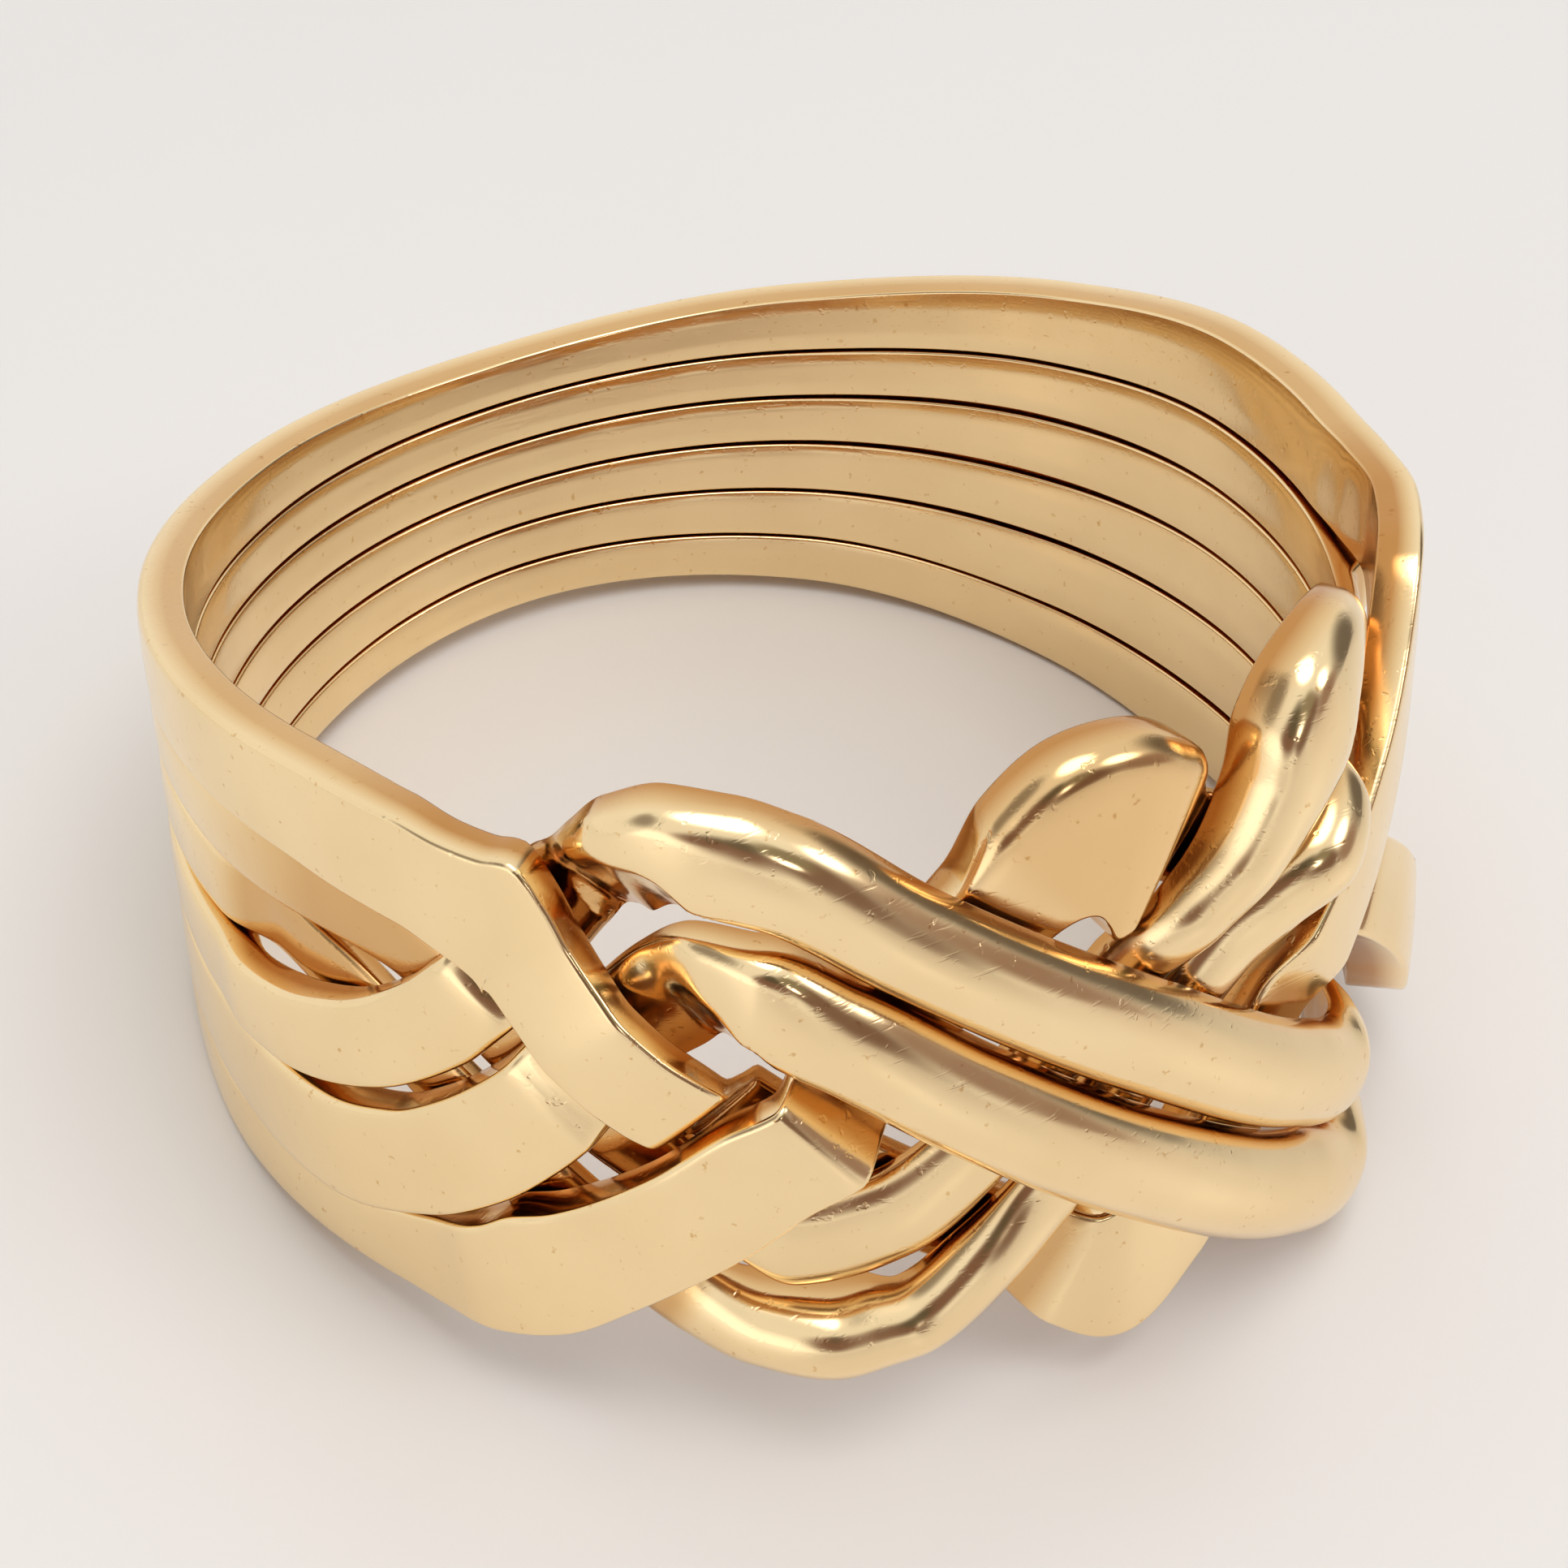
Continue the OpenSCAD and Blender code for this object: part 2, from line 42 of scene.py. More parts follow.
# The same tables as the solids have, with the same columns: angle (degrees), height, width, lean (degrees),
# base, thick (mm) and round (a share). A row is one rib across the band.
BANDS = {
    "band_1": [
        (-180, 2.25, 0.83, 0, 0.00, 0.78, 0.0),
        (-145, 2.60, 1.08, 0, 0.00, 0.78, 0.0),
        (-115, 3.25, 1.38, 0, 0.00, 0.78, 0.0),
        (-90, 3.77, 1.66, 0, 0.05, 0.78, 0.0),
        (-76, 3.86, 1.80, 0, 0.02, 0.78, 0.0),
        (-69, 3.88, 1.92, 0, 0.10, 0.78, 0.0),
        (-62, 3.89, 1.96, 1, 0.28, 0.75, 0.0),
        (-57, 3.76, 2.06, 3, 0.46, 0.71, 0.0),
        (-54, 3.62, 2.25, 7, 0.51, 0.70, 0.0),
        (-52, 3.52, 2.55, 14, 0.55, 0.69, 0.0),
        (-50.8, 3.28, 2.08, 31, 0.60, 0.68, 0.0),
        (-49.5, 2.96, 1.70, 46, 0.66, 0.67, 0.0),
        (-47, 2.38, 1.62, 50, 0.84, 0.64, 0.0),
        (-44.7, 1.88, 1.60, 50, 1.00, 0.62, 0.0),
        (-42, 1.34, 1.60, 50, 1.01, 0.60, 0.0),
        (-39.5, 0.90, 1.60, 48, 0.96, 0.58, 0.0),
        (-37.6, 0.58, 1.56, 46, 0.92, 0.52, 0.0),
        (-36.2, 0.28, 1.52, 44, 0.46, 0.43, 0.0),
        (-34.8, 0.03, 1.52, 42, 0.02, 0.42, 0.0),
        (-33, -0.25, 1.52, 40, 0.00, 0.42, 0.0),
        (-28, -0.95, 1.50, 38, 0.00, 0.42, 0.0),
        (-20, -2.00, 1.50, 37, 0.00, 0.42, 0.0),
        (-12, -3.00, 1.50, 40, 0.00, 0.43, 0.0),
        (-8, -3.50, 1.60, 38, 0.00, 0.43, 0.0),
        (-3.5, -4.15, 2.10, 25, 0.00, 0.78, 0.0),
        (2, -4.45, 2.90, -2, 0.00, 0.88, 0.0),
        (7, -4.15, 2.20, -28, 0.00, 0.88, 0.0),
        (12, -3.35, 2.00, -44, 0.00, 0.84, 0.0),
        (18, -2.10, 1.95, -44, 0.00, 0.78, 0.0),
        (22, -1.20, 1.88, -43, 0.15, 0.62, 0.0),
        (26, -0.35, 1.88, -42, 0.50, 0.72, 0.0),
        (33, 0.80, 1.90, -43, 0.52, 0.75, 0.0),
        (39, 1.75, 1.92, -45, 0.52, 0.75, 0.0),
        (45, 2.68, 2.05, -42, 0.49, 0.76, 0.0),
        (50, 3.40, 2.45, -20, 0.48, 0.76, 0.0),
        (54, 3.68, 2.06, -8, 0.47, 0.76, 0.0),
        (58, 3.79, 1.84, -4, 0.46, 0.76, 0.0),
        (65, 3.83, 1.78, -1, 0.22, 0.77, 0.0),
        (72, 3.82, 1.72, 0, 0.05, 0.78, 0.0),
        (90, 3.75, 1.66, 0, 0.00, 0.78, 0.0),
        (115, 3.25, 1.38, 0, 0.00, 0.78, 0.0),
        (145, 2.60, 1.08, 0, 0.00, 0.78, 0.0),
    ],
    "band_2": [
        (-180, 1.35, 0.83, 0, 0.00, 0.78, 0.0),
        (-145, 1.54, 0.91, 0, 0.00, 0.78, 0.0),
        (-115, 1.95, 1.08, 0, 0.00, 0.78, 0.0),
        (-90, 2.23, 1.25, 0, 0.00, 0.74, 0.1),
        (-75, 2.20, 1.25, 3, 0.00, 0.58, 0.1),
        (-66, 1.95, 1.25, 14, 0.00, 0.45, 0.2),
        (-58, 1.08, 1.24, 32, 0.00, 0.42, 0.3),
        (-50, -0.06, 1.30, 38, 0.00, 0.42, 0.4),
        (-44, -0.85, 1.40, 32, 0.00, 0.42, 0.5),
        (-38.5, -1.55, 1.35, 24, 0.12, 0.42, 0.7),
        (-35, -1.97, 1.22, 14, 0.40, 0.42, 0.9),
        (-29, -2.42, 1.82, 2, 0.48, 0.45, 1.0),
        (-21, -2.08, 1.78, -24, 0.49, 0.48, 1.0),
        (-14, -1.22, 1.56, -38, 0.47, 0.46, 1.0),
        (-8, -0.10, 1.40, -43, 0.20, 0.68, 1.0),
        (2, 1.30, 1.40, -45, 0.15, 0.75, 1.0),
        (7, 2.15, 1.35, -48, 0.48, 0.86, 1.0),
        (11, 2.88, 1.42, -50, 0.54, 1.08, 0.8),
        (14.5, 3.78, 1.72, -52, 0.56, 1.20, 0.7),
        (17, 4.50, 2.25, -48, 0.50, 1.28, 0.7),
        (19.5, 4.95, 2.35, -30, 0.48, 1.22, 0.7),
        (23, 5.10, 2.15, -5, 0.38, 1.10, 0.7),
        (27, 4.95, 1.90, 18, 0.20, 0.95, 0.7),
        (32, 4.40, 1.65, 32, 0.00, 0.82, 0.6),
        (37, 3.80, 1.50, 33, 0.00, 0.60, 0.5),
        (41, 3.28, 1.40, 30, 0.00, 0.42, 0.4),
        (50, 2.42, 1.28, 16, 0.00, 0.42, 0.3),
        (56, 2.22, 1.18, 7, 0.00, 0.42, 0.2),
        (60, 2.17, 1.20, 3, 0.00, 0.42, 0.1),
        (64, 2.18, 1.22, 1, 0.00, 0.80, 0.1),
        (90, 2.20, 1.25, 0, 0.00, 0.78, 0.1),
        (115, 1.95, 1.08, 0, 0.00, 0.78, 0.0),
        (145, 1.54, 0.91, 0, 0.00, 0.78, 0.0),
    ],
    "band_3": [
        (-180, 0.45, 0.83, 0, 0.00, 0.78, 0.0),
        (-145, 0.55, 0.92, 0, 0.00, 0.78, 0.0),
        (-115, 0.72, 1.18, 0, 0.00, 0.78, 0.0),
        (-90, 0.90, 1.28, 0, 0.00, 0.72, 0.1),
        (-82, 0.91, 1.22, 2, 0.00, 0.43, 0.1),
        (-76, 0.72, 1.25, 8, 0.00, 0.43, 0.1),
        (-72, 0.48, 1.28, 16, 0.00, 0.43, 0.2),
        (-64, -0.45, 1.30, 33, 0.00, 0.42, 0.3),
        (-55, -1.75, 1.40, 36, 0.00, 0.42, 0.4),
        (-48, -2.85, 1.45, 35, 0.00, 0.42, 0.5),
        (-43, -3.45, 1.42, 30, 0.00, 0.42, 0.7),
        (-38, -3.95, 1.42, 24, 0.00, 0.72, 0.9),
        (-33, -4.22, 1.46, 12, 0.00, 1.10, 0.9),
        (-26, -4.34, 1.50, -4, 0.02, 1.36, 0.8),
        (-22, -4.17, 1.46, -16, 0.25, 1.15, 0.9),
        (-18.6, -4.00, 1.38, -26, 0.53, 0.86, 1.0),
        (-12, -3.15, 1.38, -38, 0.52, 0.66, 1.0),
        (-6.5, -2.35, 1.40, -40, 0.50, 0.44, 1.0),
        (-2.5, -1.68, 1.40, -42, 0.25, 0.62, 1.0),
        (2, -0.93, 1.45, -44, 0.15, 0.74, 1.0),
        (9, 0.20, 1.50, -44, 0.15, 0.74, 1.0),
        (12, 0.75, 1.55, -43, 0.25, 0.75, 1.0),
        (16, 1.40, 1.60, -40, 0.55, 0.82, 1.0),
        (21, 2.05, 1.60, -28, 0.95, 0.88, 1.0),
        (26, 2.42, 1.45, -5, 0.76, 0.80, 1.0),
        (28, 2.43, 1.34, 4, 0.52, 0.60, 1.0),
        (30, 2.37, 1.32, 10, 0.10, 0.45, 1.0),
        (32, 2.22, 1.38, 15, 0.00, 0.42, 1.0),
        (40, 1.62, 1.38, 22, 0.00, 0.42, 0.6),
        (47, 1.15, 1.30, 14, 0.00, 0.42, 0.3),
        (54, 0.92, 1.25, 6, 0.00, 0.70, 0.2),
        (62, 0.85, 1.25, 2, 0.00, 0.80, 0.1),
        (90, 0.86, 1.28, 0, 0.00, 0.78, 0.1),
        (115, 0.72, 1.18, 0, 0.00, 0.78, 0.0),
        (145, 0.55, 0.92, 0, 0.00, 0.78, 0.0),
    ],
    "band_4": [
        (-180, -0.45, 0.83, 0, 0.00, 0.78, 0.0),
        (-145, -0.49, 1.00, 0, 0.00, 0.78, 0.0),
        (-115, -0.59, 1.22, 0, 0.00, 0.78, 0.0),
        (-90, -0.53, 1.42, 0, 0.15, 0.78, 0.1),
        (-83, -0.50, 1.40, -2, 0.48, 0.62, 0.1),
        (-77, -0.36, 1.50, -5, 0.48, 0.66, 0.1),
        (-68, 0.15, 1.55, -28, 0.50, 0.62, 0.2),
        (-60, 1.05, 1.55, -40, 0.50, 0.45, 0.3),
        (-57, 1.60, 1.52, -44, 0.48, 0.43, 0.4),
        (-56, 1.78, 1.50, -46, 0.44, 0.42, 0.4),
        (-53.8, 2.24, 1.54, -48, 0.02, 0.42, 0.5),
        (-48, 3.75, 1.60, -52, 0.00, 0.42, 0.8),
        (-46.3, 4.04, 1.46, -47, 0.05, 0.43, 0.7),
        (-44.2, 4.52, 1.60, -36, 0.40, 0.62, 0.5),
        (-41.4, 4.98, 2.00, -19, 0.72, 0.86, 0.5),
        (-38, 5.29, 2.02, -3, 0.86, 0.92, 0.6),
        (-34, 5.26, 1.92, 12, 0.95, 0.89, 0.8),
        (-30, 5.02, 1.82, 25, 0.99, 0.88, 0.9),
        (-20, 3.62, 1.70, 36, 0.99, 0.88, 1.0),
        (0, 0.72, 1.80, 38, 0.99, 0.88, 1.0),
        (20, -2.20, 1.78, 36, 0.99, 0.88, 1.0),
        (27.5, -2.98, 1.76, 20, 0.90, 0.88, 0.9),
        (33.5, -3.10, 1.68, 0, 0.46, 0.78, 0.9),
        (37.8, -2.78, 1.56, -16, 0.02, 0.42, 0.8),
        (42, -2.22, 1.48, -23, 0.00, 0.42, 0.7),
        (50, -1.10, 1.42, -24, 0.00, 0.42, 0.4),
        (56, -0.75, 1.40, -10, 0.00, 0.60, 0.2),
        (62, -0.62, 1.40, -3, 0.00, 0.80, 0.1),
        (90, -0.56, 1.42, 0, 0.00, 0.78, 0.1),
        (115, -0.59, 1.22, 0, 0.00, 0.78, 0.0),
        (145, -0.49, 1.00, 0, 0.00, 0.78, 0.0),
    ],
    "band_5": [
        (-180, -1.35, 0.83, 0, 0.00, 0.78, 0.0),
        (-145, -1.60, 1.06, 0, 0.00, 0.78, 0.0),
        (-115, -2.05, 1.48, 0, 0.00, 0.78, 0.0),
        (-90, -2.33, 1.98, 0, 0.10, 0.78, 0.1),
        (-72, -2.20, 2.02, -5, 0.42, 0.74, 0.1),
        (-63, -1.75, 1.95, -20, 0.49, 0.66, 0.1),
        (-57, -1.10, 1.92, -36, 0.50, 0.66, 0.1),
        (-52, -0.32, 1.84, -42, 0.50, 0.65, 0.1),
        (-49.4, 0.17, 1.80, -44, 0.50, 0.63, 0.1),
        (-47.6, 0.57, 1.79, -44, 0.51, 0.44, 0.3),
        (-43, 1.60, 1.75, -46, 0.50, 0.42, 0.7),
        (-38.6, 2.36, 1.98, -29, 0.50, 0.43, 0.6),
        (-35.4, 2.78, 2.04, -11, 0.66, 0.74, 0.5),
        (-32, 2.80, 1.92, 8, 0.88, 0.88, 0.6),
        (-26, 2.15, 1.80, 32, 0.99, 0.88, 0.9),
        (-16, 0.62, 1.80, 37, 0.99, 0.88, 1.0),
        (0, -1.80, 1.80, 38, 0.99, 0.88, 1.0),
        (20, -4.50, 1.85, 33, 0.99, 0.88, 1.0),
        (30, -5.38, 1.80, 10, 0.85, 0.88, 1.0),
        (37, -5.35, 1.80, -12, 0.40, 0.88, 1.0),
        (44, -4.35, 1.72, -42, 0.00, 0.42, 0.7),
        (54, -2.65, 1.44, -24, 0.00, 0.40, 0.3),
        (58, -2.28, 1.34, -10, 0.00, 0.42, 0.2),
        (61, -2.17, 1.40, -4, 0.00, 0.60, 0.2),
        (66, -2.12, 1.45, -2, 0.00, 0.80, 0.1),
        (90, -2.16, 1.60, 0, 0.00, 0.78, 0.1),
        (115, -2.00, 1.40, 0, 0.00, 0.78, 0.0),
        (145, -1.56, 1.00, 0, 0.00, 0.78, 0.0),
    ],
    "band_6": [
        (-180, -2.25, 0.83, 0, 0.00, 0.78, 0.0),
        (-145, -2.62, 0.84, 0, 0.00, 0.78, 0.0),
        (-115, -3.41, 1.04, 0, 0.00, 0.78, 0.0),
        (-90, -4.08, 1.30, 0, 0.00, 0.78, 0.0),
        (-70, -4.08, 1.42, 0, 0.00, 0.78, 0.0),
        (-66, -3.99, 1.56, -1, 0.04, 0.78, 0.0),
        (-62, -3.86, 1.80, -3, 0.14, 0.78, 0.0),
        (-56, -3.55, 2.10, -9, 0.44, 0.76, 0.0),
        (-51, -3.15, 2.32, -22, 0.50, 0.75, 0.0),
        (-46, -2.62, 2.10, -33, 0.56, 0.72, 0.0),
        (-40, -1.73, 2.00, -37, 0.84, 0.64, 0.0),
        (-36, -1.10, 1.98, -39, 0.97, 0.60, 0.0),
        (-31, -0.30, 1.98, -41, 0.98, 0.60, 0.0),
        (-27.2, 0.10, 1.96, -40, 0.95, 0.60, 0.0),
        (-24.5, 0.62, 1.90, -42, 0.15, 0.55, 0.0),
        (-20, 1.60, 1.85, -43, 0.00, 0.62, 0.0),
        (-12, 3.25, 1.85, -42, 0.00, 0.86, 0.0),
        (-8, 3.98, 2.45, -34, 0.00, 0.92, 0.0),
        (-4, 4.20, 3.10, -12, 0.00, 0.93, 0.0),
        (0, 4.02, 3.36, 8, 0.00, 0.93, 0.0),
        (4, 3.72, 2.96, 25, 0.00, 0.90, 0.0),
        (6.2, 3.44, 1.90, 37, 0.00, 0.58, 0.0),
        (8, 3.22, 1.52, 43, 0.00, 0.43, 0.0),
        (19, 1.95, 1.50, 37, 0.00, 0.43, 0.0),
        (28, 0.78, 1.34, 38, 0.00, 0.43, 0.0),
        (33, 0.08, 1.52, 40, 0.00, 0.43, 0.0),
        (36, -0.38, 1.62, 43, 0.02, 0.43, 0.0),
        (39, -0.86, 1.70, 46, 0.46, 0.66, 0.0),
        (42, -1.36, 1.74, 48, 0.50, 0.82, 0.0),
        (45, -1.96, 1.78, 48, 0.54, 0.98, 0.0),
        (48, -2.62, 1.84, 45, 0.58, 1.06, 0.0),
        (50.5, -3.18, 2.10, 32, 0.60, 1.08, 0.0),
        (52, -3.44, 2.45, 17, 0.60, 1.08, 0.0),
        (54.5, -3.62, 2.25, 8, 0.56, 1.04, 0.0),
        (57, -3.76, 1.98, 4, 0.50, 0.88, 0.0),
        (60, -3.88, 1.72, 1, 0.44, 0.76, 0.0),
        (61.5, -3.91, 1.64, 1, 0.38, 0.76, 0.0),
        (66, -3.92, 1.58, 1, 0.12, 0.78, 0.0),
        (72, -3.90, 1.58, 0, 0.02, 0.78, 0.0),
        (90, -3.84, 1.52, 0, 0.00, 0.78, 0.0),
        (115, -3.36, 1.18, 0, 0.00, 0.78, 0.0),
        (145, -2.60, 0.96, 0, 0.00, 0.78, 0.0),
    ],
}

# Finger hole, and the way the ring lies: tilt about X, roll about Y, then down to the floor
BORE_R = 9.4
REST_TILT = math.radians(-10.7)
REST_ROLL = math.radians(0.2)
RING_CENTRE = np.array([-0.121, -0.549, -4.722])

# Ribs round the head, which reaches so many degrees to each side, and round the plain back
HEAD_HALF = 70
HEAD_RIBS = 360
BACK_RIBS = 210

# The outside of a section has a corner, a crown and a corner, each in so many steps. A flat band has
# filed corners of a set radius and a low crown (mm); a half-round one is a half ellipse on a low wall.
CORNER_STEPS, CROWN_STEPS = 8, 16
CORNER_R, CROWN = 0.11, 0.025
CORNER_SHARE, SHOULDER_SHARE = 0.3, 0.7
ROUND_WALL = 0.16
CORNER_SWEEP = math.radians(52)

# The two inner edges are bevelled (mm), each in three points; the wall above a bevel has one more point
INNER_BEVEL, BEVEL_SHARE, BEVEL_MIDDLE = 0.05, 0.2, 0.3
INNER_POINTS = 10

# Where the two upper bands come up at the left their lower flank is filed flat: at each angle, how far
# over the width the flat goes, as a share of the half width (-1 is none)
NO_FLANK = -1
FLANKS = {
    "band_4": [(-48, -1), (-45.5, 0.8), (-43, 0.7), (-40, 0.25), (-36, -0.5), (-31, -0.9), (-29, -1)],
    "band_5": [(-44, -1), (-41, 0.8), (-39, 0.7), (-36.5, 0.2), (-33, -0.4), (-28, -0.9), (-26, -1)],
}
# Share of the thickness left as a wall at the flat's foot, sharpness of its edge, least wall in mm
FLANK_WALL, FLANK_EDGE, FLANK_LEAST = 0.12, 40, 0.08

# The broad loop behind the upper bands has a rounded upper shoulder: its radius in mm at each angle
SHOULDERS = {"band_6": [(-13, 0), (-8, 0.5), (3, 0.5), (7, 0)]}

# Wear and painted shade of the metal, from 0 in the recesses, where shade is painted as a dark orange, to 1
# where the outside is rubbed bright.
# It passes from the head's to the back's over some degrees, and from a wall's to the outside's over some of
# the thickness.
# Painted shade: the walls and the bore under the head are painted dark where shade falls; the bore and rims
# at the back are worn
SHADE_WALL, WEAR_RIM, WEAR_BORE, SHADE_RECESS = 0.0, 0.35, 0.95, 0.1
WEAR_FADE = 12
# A band's outside gets painted shade where it lies low under the other bands, and is rubbed bright where it
# lies high
RAISED_FROM, RAISED_OVER, RAISED_LEAST = 0.5, 0.25, 0.3
OUTSIDE_FROM, OUTSIDE_OVER = 0.2, 0.45
# Painted shade on the broad loop's outside where its upper shoulder is rounded
SHOULDER_SHADE = 0.9

# The metal's colour at each wear and painted shade, from the dark orange painted as shade to the pale rubbed
# gold, and the colours that spread over it
GOLD = [
    (0.0, (0.62, 0.31, 0.10)),
    (0.5, (0.84, 0.57, 0.27)),
    (0.8, (0.94, 0.70, 0.385)),
    (1.0, (0.99, 0.78, 0.455)),
]
BLACK, WHITE = (0, 0, 0), (1, 1, 1)
CLOUD_STOPS = [(0.35, (0.96, 0.945, 0.92)), (0.65, WHITE)]
SPECK_STOPS = [(0.66, WHITE), (0.74, (0.80, 0.66, 0.50))]
PIT_STOPS = [(0.66, WHITE), (0.74, BLACK)]
HAIR_STOPS = [(0.66, WHITE), (0.72, BLACK)]

# Noises of the metal (scale, detail, roughness) and their bumps (strength, distance in metres)
CLOUD = (420, 3, 0.5)
SPECKS = (5600, 3, 0.6)
POLISH = (900, 5, 0.6)
WAVE, WAVE_BUMP = (260, 2, 0.5), (0.3, 0.00012)
PITS, PIT_BUMP = (4600, 2, 0.5), (0.6, 0.000004)
HAIRS, HAIR_BUMP = (420, 1, 0.5), (0.35, 0.000002)
HAIR_STRETCH = (1, 22, 22)
HAIR_TURNS = [(0.3, 0.9, 0.5), (-0.8, 0.2, 1.4), (1.2, -0.6, 2.3)]
POLISH_RANGE, ROUGHNESS_RANGE = (0.3, 0.75), (0.10, 0.21)

# The floor: half its side and its drop under the ring in metres, and its colour far off and near by, darker
# far off and brighter near as a painted falloff of the light
FLOOR_HALF, FLOOR_DROP = 0.6, 0.00002
FLOOR_FAR, FLOOR_NEAR = (0.77, 0.765, 0.76, 1), (0.89, 0.875, 0.87, 1)
FLOOR_FADE = 0.03
FLOOR_ROUGHNESS, FLOOR_SHEEN = 0.28, 0.35

# The camera in the ring's own frame: degrees, and mm from the ring's middle. Its focal length and its
# shift are in the photo's pixels.
CAM_AZIMUTH, CAM_ELEVATION, CAM_ROLL = -30.183, 35.148, -1.68
CAM_DISTANCE = 60
CAM_FOCAL = 4350.6
CAM_SHIFT = (18.8, -69.2)
FRAME_SIZE = 1932
SENSOR = 36

# The studio: a bright tent with lamps, and darker parts around where the camera stands. Each row covers
# the directions within inner degrees of its own and fades out at outer degrees.
TENT = (0.89, 0.87, 0.855)
SPOTS = [
    # azimuth, elevation, inner, outer, colour
    (-64, 4, 8, 28, (1.4, 1.37, 1.35)),
    (-100, 42, 6, 26, (0.30, 0.27, 0.25)),
    (88, 14, 10, 32, (0.16, 0.14, 0.13)),
    (48, 12, 8, 24, (0.32, 0.22, 0.19)),
    (-28, 24, 10, 24, (0.20, 0.11, 0.085)),
    (10, 20, 12, 28, (0.19, 0.115, 0.09)),
    (-20, 36, 4, 16, (0.10, 0.085, 0.06)),
    (4, 36, 6, 16, (0.26, 0.23, 0.17)),
    (-3, 25, 2, 6, (3.2, 3.1, 3.0)),
    (46, 38, 5, 13, (3.4, 3.3, 3.2)),
    (20, 80, 12, 22, (3.6, 3.5, 3.4)),
]


def interpolate(rows, angles):
    """Ribs at the angles, on a closed smooth curve through the rows that doesn't pass beyond them."""
    table = np.array(rows, float)
    x = np.concatenate([table[-2:, 0] - 360, table[:, 0], table[:3, 0] + 360])
    y = np.vstack([table[-2:, 1:], table[:, 1:], table[:3, 1:]])
    h = np.diff(x)
    d = np.diff(y, axis=0) / h[:, None]
    slope = np.zeros_like(y)
    for k in range(1, len(x) - 1):
        w1, w2 = 2 * h[k] + h[k - 1], h[k] + 2 * h[k - 1]
        same = d[k - 1] * d[k] > 0
        low = np.where(same, d[k - 1], 1)
        high = np.where(same, d[k], 1)
        slope[k] = np.where(same, (w1 + w2) / (w1 / low + w2 / high), 0)
    k = np.clip(np.searchsorted(x, angles, side="right") - 1, 1, len(x) - 3)
    step = h[k][:, None]
    t = ((angles - x[k]) / h[k])[:, None]
    return (
        (2 * t**3 - 3 * t**2 + 1) * y[k]
        + (t**3 - 2 * t**2 + t) * step * slope[k]
        + (3 * t**2 - 2 * t**3) * y[k + 1]
        + (t**3 - t**2) * step * slope[k + 1]
    )


def at_angle(table, name, angle, otherwise):
    """Value at an angle from a band's list of (angle, value), or the other value for a band without one."""
    if name not in table:
        return otherwise
    angles, values = zip(*table[name])
    return np.interp(angle, angles, values)


def flat_outside(half, thick, shoulder_r):
    """Outside of a flat band's section: a rounded upper shoulder or corner, a low crown and a corner."""
    corner = min(CORNER_R, CORNER_SHARE * thick)
    upper = max(corner, min(shoulder_r, SHOULDER_SHARE * thick))
    turn = np.linspace(0, math.pi / 2, CORNER_STEPS + 1)
    c, s = np.cos(turn), np.sin(turn)
    right = np.stack([half - upper + upper * c, thick - CROWN - upper + upper * s], -1)
    left = np.stack([corner - half - corner * c, thick - CROWN - corner + corner * s], -1)[::-1]
    along = np.linspace(half - upper, corner - half, CROWN_STEPS + 1)[1:-1]
    middle = np.stack([along, thick - CROWN * (along / half) ** 2], -1)
    return np.concatenate([right, middle, left])


def round_outside(half, thick):
    """Outside of a half-round band's section: a half ellipse on a low wall."""
    sweep = np.concatenate([
        np.linspace(0, CORNER_SWEEP, CORNER_STEPS + 1),
        np.linspace(CORNER_SWEEP, math.pi - CORNER_SWEEP, CROWN_STEPS + 1)[1:-1],
        np.linspace(math.pi - CORNER_SWEEP, math.pi, CORNER_STEPS + 1),
    ])
    wall = ROUND_WALL * thick
    return np.stack([half * np.cos(sweep), wall + (thick - wall) * np.sin(sweep)], -1)


def filed(outside, half, thick, flank):
    """The outside with its lower flank filed flat, from a low wall up to the flank's share of the width."""
    foot = FLANK_WALL * thick
    cut = foot + (outside[:, 0] + half) * (thick - foot) / (half * (1 + flank))
    lower = -np.log(np.exp(-FLANK_EDGE * outside[:, 1]) + np.exp(-FLANK_EDGE * cut)) / FLANK_EDGE
    return np.stack([outside[:, 0], np.maximum(lower, FLANK_LEAST)], -1)


def section(width, thick, roundness, flank, shoulder_r):
    """Outline of a rib as (along the rib, out from the inside face)."""
    half = width / 2
    flat = flat_outside(half, thick, shoulder_r)
    outside = flat + (round_outside(half, thick) - flat) * roundness
    if flank > NO_FLANK:
        outside = filed(outside, half, thick, flank)
    low = min(outside[0, 1], outside[-1, 1])
    bevel = min(INNER_BEVEL, BEVEL_SHARE * low)
    middle = BEVEL_MIDDLE * bevel
    inner = [
        (-half, low / 2), (-half, bevel), (middle - half, middle), (bevel - half, 0), (-half / 3, 0),
        (half / 3, 0), (half - bevel, 0), (half - middle, middle), (half, bevel), (half, low / 2),
    ]
    return np.concatenate([inner, outside])


